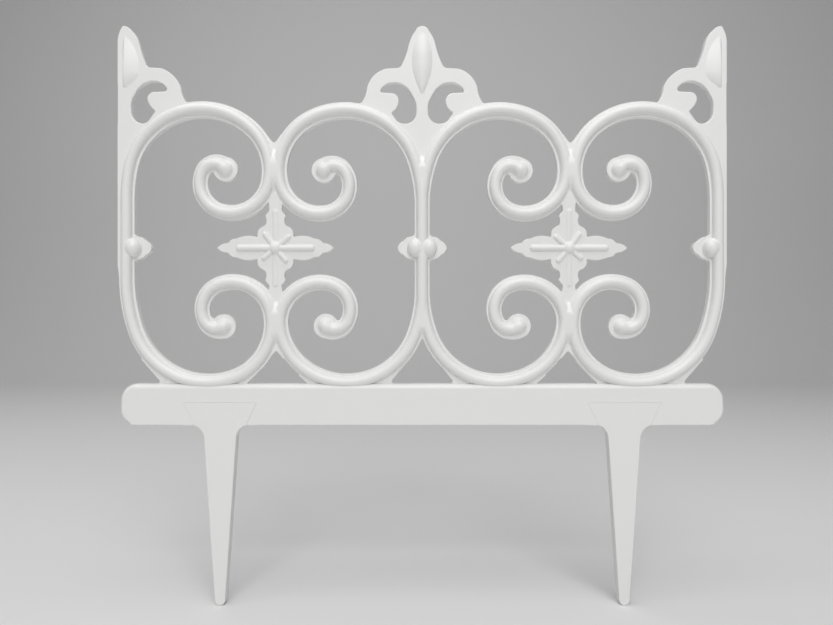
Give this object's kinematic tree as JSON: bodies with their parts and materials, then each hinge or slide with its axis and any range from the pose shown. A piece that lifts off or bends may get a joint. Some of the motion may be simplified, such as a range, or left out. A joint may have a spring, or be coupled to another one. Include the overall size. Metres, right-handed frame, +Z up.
{
  "type": "garden edging fence",
  "caption": "Low white plastic border fence panel with C scrolls, leaf crosses and spear finials on a ground rail with tapered push-in stakes.",
  "frame": {"origin": "middle of the ground rail's underside, half way through its thickness, at ground level", "axes": "+X along the fence to the right as seen from the decorated side, +Y from the decorated face to the flat back, +Z up; the stakes reach below z = 0"},
  "size_m": [0.24, 0.0056, 0.2273],
  "materials": {
    "white_plastic": "semi-gloss moulded plastic, slightly soft edges"
  },
  "bodies": {
    "root": {"ground_rail": "white_plastic", "stake_left": "white_plastic", "stake_right": "white_plastic", "collar_left": "white_plastic", "collar_center": "white_plastic", "collar_right": "white_plastic", "leaf_cross_left": "white_plastic", "leaf_cross_right": "white_plastic", "finial_left": "white_plastic", "finial_center": "white_plastic", "finial_right": "white_plastic", "scroll_upper_1": "white_plastic", "scroll_upper_2": "white_plastic", "scroll_upper_3": "white_plastic", "scroll_upper_4": "white_plastic", "scroll_lower_1": "white_plastic", "scroll_lower_2": "white_plastic", "scroll_lower_3": "white_plastic", "scroll_lower_4": "white_plastic"}
  },
  "joints": []
}
